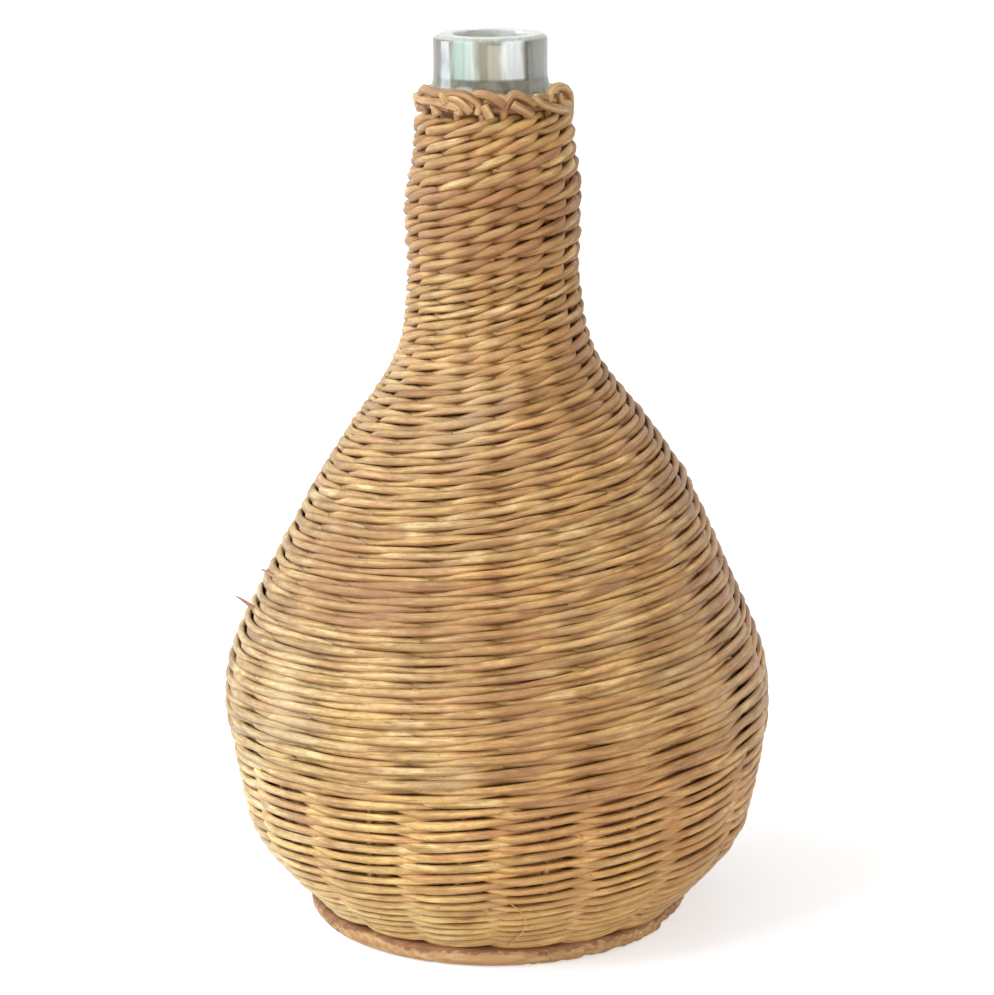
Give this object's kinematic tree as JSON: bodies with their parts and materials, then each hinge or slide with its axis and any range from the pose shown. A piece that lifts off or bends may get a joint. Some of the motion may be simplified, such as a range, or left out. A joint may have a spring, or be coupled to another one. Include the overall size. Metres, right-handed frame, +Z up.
{
  "type": "wicker-covered bottle",
  "caption": "Pear-shaped glass bottle with a thick collar at its mouth, in a woven cane cover that stands on a round wooden base.",
  "frame": {"origin": "centre of the wooden base's underside, on the surface that the bottle stands on", "axes": "+Z up along the bottle's axis; +X to the right and -Y towards the viewer of the picture"},
  "size_m": [0.1781, 0.1773, 0.286],
  "materials": {
    "bottle_glass": "clear, faintly grey-green",
    "base_wood": "dark stain, worn pale along its lower edge",
    "stake_cane": "natural peeled cane, satin",
    "weaver_cane": "natural peeled cane, satin, honey-coloured"
  },
  "bodies": {
    "root": {"glass_bottle": "bottle_glass", "wooden_base": "base_wood", "stake_01": "stake_cane", "stake_02": "stake_cane", "stake_03": "stake_cane", "stake_04": "stake_cane", "stake_05": "stake_cane", "stake_06": "stake_cane", "stake_07": "stake_cane", "stake_08": "stake_cane", "stake_09": "stake_cane", "stake_10": "stake_cane", "stake_11": "stake_cane", "stake_12": "stake_cane", "stake_13": "stake_cane", "stake_14": "stake_cane", "stake_15": "stake_cane", "stake_16": "stake_cane", "stake_17": "stake_cane", "weaver_01": "weaver_cane", "weaver_02": "weaver_cane", "weaver_03": "weaver_cane", "weaver_04": "weaver_cane", "weaver_05": "weaver_cane", "weaver_06": "weaver_cane", "weaver_07": "weaver_cane", "weaver_08": "weaver_cane", "weaver_09": "weaver_cane", "weaver_10": "weaver_cane", "weaver_11": "weaver_cane"}
  },
  "joints": []
}
